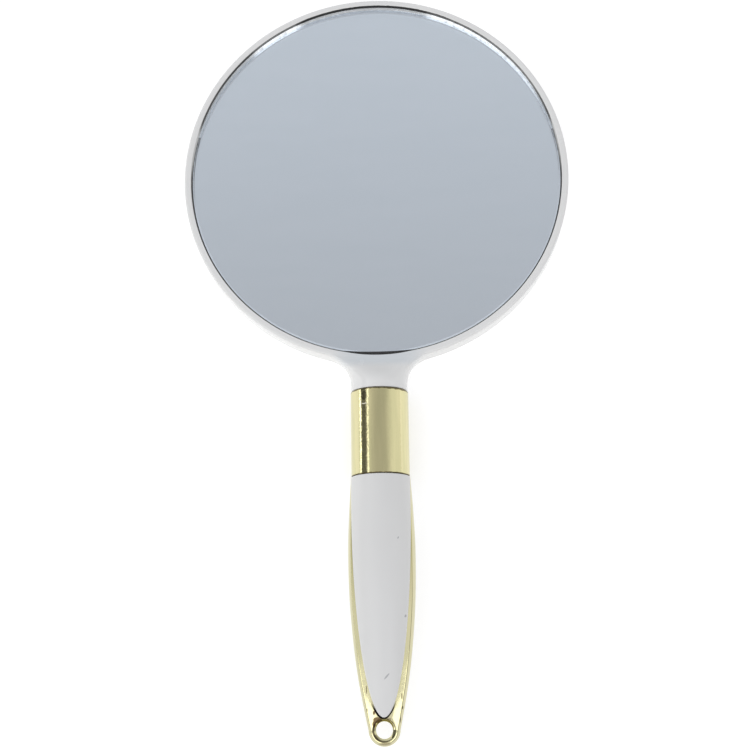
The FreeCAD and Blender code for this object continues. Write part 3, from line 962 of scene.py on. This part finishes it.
bandLook = {
    **goldLook,
    "waveHeight": 0.012 * mm,
    "rippleHeight": 0.0025 * mm,
    # painted shade on the band's sides
    "shadedSides": 0.75,
    "wearAndReflection": (
        {"spots": ((-2.0, -117.5, 1.5, 1.0), (-3.1, -118.8, 0.6, 1.1), (-3.1, -115.3, 0.4, 0.7)),
         "scale": 900.0, "ragged": 0.7, "depth": 0.92, "rough": 0.15, "colour": colour(0.13, 0.075, 0.03)},
        {"spots": ((1.5, -117.3, 0.8, 0.5), (0.3, -125.1, 3.4, 0.8)),
         "scale": 900.0, "ragged": 0.6, "depth": 0.6, "rough": 0.15, "colour": colour(0.24, 0.18, 0.1)},
        {"spots": ((5.6, -110.4, 0.2, 1.1), (5.72, -113.9, 0.26, 0.6), (-5.35, -108.4, 0.18, 1.4),
                   (-5.2, -114.5, 0.15, 0.6), (5.0, -117.6, 0.15, 1.0)),
         "scale": 1200.0, "ragged": 0.6, "depth": 0.85, "rough": 0.1, "colour": colour(0.1, 0.08, 0.03)},
    ),
    # painted shade round the countersink: radius and widths in mm, and how far low on the left the ring
    # thickens
    "holeShade": {"radius": 3.45, "width": 0.1, "thicker": 0.22, "lowLeft": (0.5, 4.5), "ragged": 0.3,
                 "scale": 700.0, "depth": 0.85, "colour": colour(0.1, 0.07, 0.03)},
    # painted shadow by the panel's tip: the line fades over the reach, and thins from left to right by the
    # share
    "tipShadow": {"reach": (2.2 * mm, 5.5 * mm), "width": 0.5, "thinFrom": (-2 * mm, 3 * mm), "thin": 0.45,
              "soft": 0.2, "ragged": 0.3, "scale": 900.0, "colour": colour(0.003, 0.002, 0.002)},
}
standsFor(makeCore(), "handle_core")


plug = {"radius": 8.46 * mm, "gap": 0.2 * mm, "chamfer": 0.3 * mm, "steps": 96}


def makePlug():
    # the core's round plug, inside the collar
    skin = Skin()
    radius, chamfer = plug["radius"], plug["chamfer"]
    top = jointY - plug["gap"]
    turns = [2 * pi * i / plug["steps"] for i in range(plug["steps"])]
    rings = []
    for r, y in ((0.0, top), (radius - chamfer, top), (radius, top - chamfer),
                 (radius, gripStart), (0.0, gripStart)):
        rings.append([(r * cos(a), y, axisZ + r * sin(a)) for a in turns])
    skin.patch(rings, close=True)
    return skin.piece("collarPlug", goldPlating("plugGold", goldLook))


standsFor(makePlug())


# white grip panels

backPanelLook = {
    **headWhite, "light": colour(0.76, 0.76, 0.75), "shade": colour(0.74, 0.74, 0.73), "roughness": 0.34,
    "rubRoughness": 0.1, "coat": 0.0, "peelHeight": 0.01 * mm,
}
frontPanelLook = {
    **backPanelLook,
    # x, y, length, width and turn of each nick, mm and degrees
    "marks": {"spots": ((5.4, -62.2, 0.5, 0.22, 60.0), (7.2, -86.3, 0.55, 0.35, 70.0),
                        (1.1, -104.5, 1.5, 0.3, 48.0)),
              "scale": 2500.0, "ragged": 0.9, "depth": 0.55, "rough": 0.3,
              "colour": colour(0.25, 0.25, 0.27)},
}


def makePanel(name, side, material):
    # side is 1 for the front and -1 for the back
    half, middle, long = leafHalf, leafMiddle, leafLong
    near = [s * mm for s in leaf["edgeSteps"]]
    start = near[-1]
    places = [gripStart - s for s in near]
    tail = leafLow.y + start
    places += [mix(gripStart - start, tail, mix(t, smooth(t), leaf["crowding"]))
               for t in shares(leaf["rows"])[1:-1]]
    places += [leafLow.y + s for s in reversed(near)]
    rows = []
    for y in places:
        down = max(0.0, middle - y)
        reach = half * sqrt(max(0.0, 1 - (down / long) ** 2))
        inward = min(1.0, reach / (2.4 * start))
        edge = reach - start * inward
        xs = [reach - s * inward for s in near[:-1]]
        xs += [edge * (1 - t) for t in shares(leaf["columns"])]
        xs += [-x for x in reversed(xs[:-1])]
        halfWidth, crown, halfHeight, _ = gripAt(y)
        row = []
        for x in xs:
            if down > 0:
                value = 1 - (x / half) ** 2 - (down / long) ** 2
                slope = 2 * hypot(x / half ** 2, down / long ** 2)
                gap = max(0.0, value) / max(slope, 1e-9)
            else:
                gap = half - abs(x)
            gap = min(gap, gripStart - y, leaf["edge"])
            drop = leaf["edge"] - sqrt(leaf["edge"] ** 2 - (leaf["edge"] - gap) ** 2)
            z = crown * sqrt(1 - (x / halfWidth) ** 2) - drop
            row.append((x, y, z, halfHeight))
        rows.append(row)
    skin = Skin()
    skin.patch([[(x, y, axisZ + side * z) for x, y, z, h in row] for row in rows])

    def base(point):
        x, y, z, h = point
        crownEdge = min(h, z - leaf["sink"])
        return (x, y, axisZ + side * crownEdge)

    # the base is level across each row, and the wall joins it to the top all round
    edges = [[row[0] for row in rows], [row[-1] for row in rows], rows[0], rows[-1]]
    floor = []
    for row in rows:
        low = min(base(row[0])[2] * side, base(row[-1])[2] * side) * side
        floor.append([(x, y, low) for x, y, z, h in row])
    skin.patch(floor)
    tops = [[(x, y, axisZ + side * z) for x, y, z, h in line] for line in edges]
    bottoms = [[r[0] for r in floor], [r[-1] for r in floor], floor[0], floor[-1]]
    for top, bottom in zip(tops, bottoms):
        skin.patch([top, bottom])
    return skin.piece(name, material, 45.0)


standsFor(makePanel("frontPanel", 1, whitePlastic("frontPanelWhite", frontPanelLook)),
          "front_grip_panel")
standsFor(makePanel("backPanel", -1, whitePlastic("backPanelWhite", backPanelLook)),
          "back_grip_panel")


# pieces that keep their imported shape

foamLook = {"cell": colour(0.78, 0.77, 0.72), "wall": colour(0.9, 0.9, 0.86), "scale": 2600.0,
            "height": 0.08 * mm}
steelLook = {"bright": colour(0.7, 0.7, 0.68), "dull": colour(0.5, 0.5, 0.48), "brushScale": 3000.0,
             "brushHeight": 0.01 * mm, "dullScale": 700.0}
hidden = {
    "foam_tape_ring": foamTape("tapeFoam", foamLook),
    "foam_tape_pads": foamTape("padFoam", foamLook),
    "tang_screws": screwSteel("screwSteel", steelLook),
}
for name, material in hidden.items():
    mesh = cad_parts[name].data
    mesh.materials.clear()
    mesh.materials.append(material)
print("finishes set on", len(hidden), "kept pieces")


# floor, light and camera

studio = {
    "floorHalf": 6.0,
    "floorTone": (colour(0.62, 0.62, 0.62), colour(0.64, 0.64, 0.64)),
    "floorSink": 0.02 * mm,
    "floorGlow": 0.55,
    "ceilingNear": colour(0.86, 0.87, 0.95),    # overhead, on the handle's side
    "zenith": colour(0.53, 0.525, 0.525),       # overhead, on the head's side
    "zenithFar": colour(0.608, 0.615, 0.625),   # beyond the head
    "horizon": colour(0.95, 0.95, 0.94),        # low down, all round but beyond the head
    "horizonFar": colour(0.80, 0.82, 0.85),     # low down, beyond the head
    "horizonRight": colour(0.42, 0.42, 0.42),   # low down on the right, outside the collar's lane
    # where one tone turns into the next, along the ray's x, y or z
    "wallToCeiling": (0.55, 0.98), "nearToZenith": (-0.02, 0.15), "zenithToFar": (0.2, 0.5),
    "wallToFar": (0.4, 0.85), "laneStart": (-0.02, 0.12), "laneEnd": (0.3, 0.45), "rightFrom": (0.1, 0.6),
    # name: place, width and length, radiance
    "lamps": {
        "leftBox": ((-0.48, -0.475, 1.3), (0.66, 0.5), 1.2),
        "rightBox": ((0.48, -0.475, 1.3), (0.62, 0.5), 1.2),
        "lowStrip": ((-1.15, 0.1, 0.20), (0.10, 1.4), 1.8),
        "highStrip": ((-0.98, 0.1, 0.93), (0.13, 1.4), 0.85),
    },
    "board": {"x": -1.1, "low": 0.275, "high": 0.815, "near": -0.6, "far": 0.9,
              "dark": colour(0.11, 0.11, 0.1), "light": colour(0.24, 0.24, 0.22)},
    # place, turns about x, y and z in degrees, lens and sensor in millimetres
    "camera": {"place": (0.0120, -0.115475, 0.4480), "turn": (13.7, 1.64, -0.86), "lens": 65.66,
               "sensor": 36.0},
}


def makeFloor():
    half = studio["floorHalf"]
    skin = Skin()
    skin.patch([[(-half, -half, 0), (half, -half, 0)], [(-half, half, 0), (half, half, 0)]])
    s = newSurface("paleFloor")
    grain = s.noise(s.where(), 4.0, 2.0)
    tone = s.blend(grain, *studio["floorTone"])
    floor = skin.piece("floor", s.finish(s.principled({
        "Base Color": tone, "Roughness": 0.9, "Specular IOR Level": 0.0,
        "Emission Color": colour(1, 1, 1), "Emission Strength": studio["floorGlow"]})))
    floor.location.z = -studio["floorSink"]


def makeWorld():
    world = bpy.data.worlds.new("studioRoom")
    bpy.context.scene.world = world
    s = Surface(world)
    x, y, z = s.split(s.node("TexCoord", output="Generated"))
    low = 1.0 - s.step(z, *studio["wallToCeiling"])
    ceiling = s.blend(s.step(y, *studio["nearToZenith"]), studio["ceilingNear"], studio["zenith"])
    ceiling = s.blend(s.step(y, *studio["zenithToFar"]), ceiling, studio["zenithFar"])
    walls = s.blend(s.step(y, *studio["wallToFar"]), studio["horizon"], studio["horizonFar"])
    lane = s.step(y, *studio["laneStart"]) * (1.0 - s.step(y, *studio["laneEnd"]))
    right = s.step(x, *studio["rightFrom"]) * (1.0 - lane)
    walls = s.blend(right, walls, studio["horizonRight"])
    s.finish(s.node("Background", sockets={"Color": s.blend(low, ceiling, walls)}), "World")


def makeSoftbox(name, spot, size, radiance):
    light = bpy.data.lights.new(name, "AREA")
    light.shape = "RECTANGLE"
    light.size, light.size_y = size
    light.energy = radiance * pi * size[0] * size[1]
    lamp = addObject(name, light)
    lamp.location = spot
    back = Vector(spot).normalized()                     # it faces the object, its length along the handle
    side = Vector((0, 1, 0)).cross(back).normalized()
    turn = Matrix((side, back.cross(side), back)).transposed()
    lamp.rotation_euler = turn.to_euler()
    lamp.visible_camera = False


def makeBoard():
    # a dark board beside the table, which the gold mirrors as a dark line
    skin = Skin()
    board = studio["board"]
    skin.patch([[(board["x"], y, z) for y in (board["near"], board["far"])]
                for z in (board["low"], board["high"])])
    s = newSurface("darkBoard")
    tone = s.blend(s.noise(s.where(), 9.0, 3.0), board["dark"], board["light"])
    made = skin.piece("darkBoard", s.finish(s.principled({"Base Color": tone, "Roughness": 0.9})))
    made.visible_camera = False


def makeCamera():
    view = studio["camera"]
    data = bpy.data.cameras.new("camera")
    data.sensor_width = view["sensor"]
    data.lens = view["lens"]
    data.clip_start, data.clip_end = 0.01, 50.0
    camera = addObject("camera", data)
    x, y, z = (radians(a) for a in view["turn"])
    turn = Matrix.Rotation(y, 4, "Y") @ Matrix.Rotation(x, 4, "X") @ Matrix.Rotation(z, 4, "Z")
    camera.matrix_world = Matrix.Translation(view["place"]) @ turn
    bpy.context.scene.camera = camera


makeFloor()
makeWorld()
makeBoard()
for name, (spot, size, radiance) in studio["lamps"].items():
    makeSoftbox(name, spot, size, radiance)
makeCamera()
bpy.context.scene.view_settings.view_transform = "Standard"
print("studio set")
